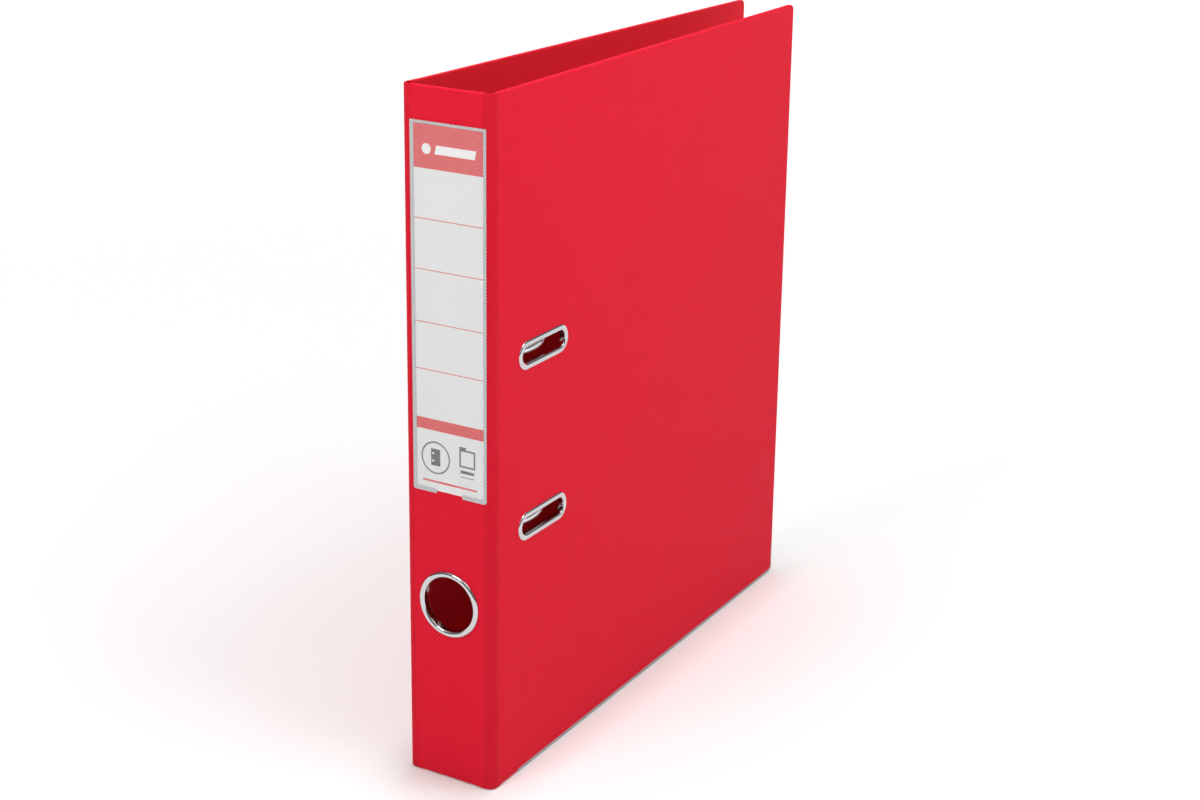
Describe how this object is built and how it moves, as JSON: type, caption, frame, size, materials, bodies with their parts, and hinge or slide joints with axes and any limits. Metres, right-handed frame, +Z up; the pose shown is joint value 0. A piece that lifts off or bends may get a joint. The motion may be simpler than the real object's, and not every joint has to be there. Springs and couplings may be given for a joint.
{
  "type": "lever arch file",
  "caption": "Narrow A4 lever arch file: film-covered board covers and spine on film hinges, finger ring, slot eyelets, label pocket, and a lever-worked arch mechanism.",
  "frame": {"origin": "middle of the file's box, at the floor", "axes": "+X from the back cover to the front cover, +Y from the spine to the fore edge, +Z up, as the file stands"},
  "size_m": [0.0466, 0.2862, 0.318],
  "materials": {
    "grey_board": "uncoated grey board",
    "red_film": "satin embossed polypropylene film",
    "red_hinge_film": "welded polypropylene film",
    "edge_steel": "rolled steel strip",
    "chrome": "bright nickel plating",
    "clear_film": "clear film",
    "label_card": "printed card",
    "nickel_plate": "nickel-plated pressed steel",
    "pin_steel": "turned steel",
    "spring_steel": "spring steel",
    "black_plastic": "moulded plastic"
  },
  "bodies": {
    "back_cover": {"back_board": "grey_board", "back_outer_film": "red_film", "back_inner_film": "red_film", "back_edge_strip": "edge_steel", "back_hinge_film": "red_hinge_film", "base_plate": "nickel_plate", "plate_rivets": "nickel_plate", "filing_posts": "chrome", "lever_pin": "pin_steel", "opening_spring": "spring_steel"},
    "spine": {"spine_board": "grey_board", "spine_outer_film": "red_film", "spine_inner_film": "red_film", "finger_ring": "chrome", "label_pocket": "clear_film", "front_hinge_film": "red_hinge_film"},
    "front_cover": {"front_board": "grey_board", "front_outer_film": "red_film", "front_inner_film": "red_film", "front_edge_strip": "edge_steel", "slot_eyelets": "chrome"},
    "lever": {"lever": "nickel_plate", "roller_pin": "pin_steel"},
    "roller": {"roller": "pin_steel"},
    "arch": {"arch_wire": "chrome"},
    "compressor": {"compressor_bar": "nickel_plate", "compressor_clips": "black_plastic"},
    "label": {"spine_label": "label_card"}
  },
  "joints": [
    {"name": "spine_hinge", "type": "hinge", "parent": "back_cover", "child": "spine", "pos_m": [-0.02218, -0.14073, 0.159], "axis": [0, 0, -1], "range_deg": [0, 90], "deforming": ["back_hinge_film"]},
    {"name": "cover_hinge", "type": "hinge", "parent": "spine", "child": "front_cover", "pos_m": [0.02148, -0.14073, 0.159], "axis": [0, 0, -1], "range_deg": [0, 180], "deforming": ["front_hinge_film"]},
    {"name": "lever_pivot", "type": "hinge", "parent": "back_cover", "child": "lever", "pos_m": [-0.00491, -0.10131, 0.159], "axis": [0, 0, 1], "range_deg": [0, 36]},
    {"name": "arch_pivot", "type": "hinge", "parent": "back_cover", "child": "arch", "pos_m": [-0.01679, -0.12201, 0.159], "axis": [0, 0, -1], "range_deg": [0, 12], "deforming": ["opening_spring"]},
    {"name": "roller_spin", "type": "hinge", "parent": "lever", "child": "roller", "pos_m": [-0.01037, -0.10484, 0.159], "axis": [0, 0, 1], "continuous": true},
    {"name": "compressor_slide", "type": "slide", "parent": "back_cover", "child": "compressor", "axis": [0.9985, -0.0541, 0], "range_m": [0, 0.0075]},
    {"name": "label_slide", "type": "slide", "parent": "spine", "child": "label", "axis": [0, 0, -1], "range_m": [0, 0.035]}
  ],
  "couplings": [
    {"joint": "arch_pivot", "follows": "lever_pivot", "ratio": 0.33333}
  ]
}
